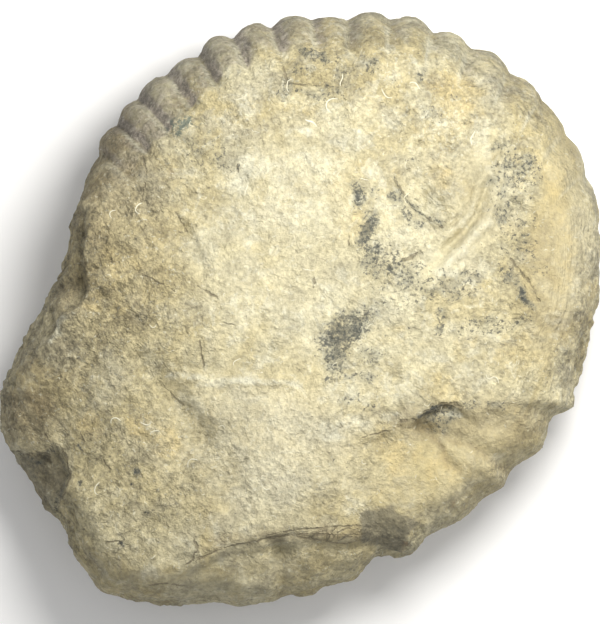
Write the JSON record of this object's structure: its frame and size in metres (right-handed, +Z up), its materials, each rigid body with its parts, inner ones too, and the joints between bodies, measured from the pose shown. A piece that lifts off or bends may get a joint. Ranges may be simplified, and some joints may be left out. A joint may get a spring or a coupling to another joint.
{
  "type": "fossil ammonite",
  "caption": "Large coarse-ribbed ammonite in limestone, its flank covered by adhering rock and its end broken, lying on one side.",
  "frame": {"origin": "under the middle of the stone's box, on the plane it rests on", "axes": "+Z up through the coil's flat side, +Y towards the ribbed top of the coil as seen from above, +X to the right"},
  "size_m": [0.3432, 0.3402, 0.119],
  "materials": {
    "stone": "matt, rough weathered limestone"
  },
  "bodies": {
    "root": {"ammonite": "stone"}
  },
  "joints": []
}
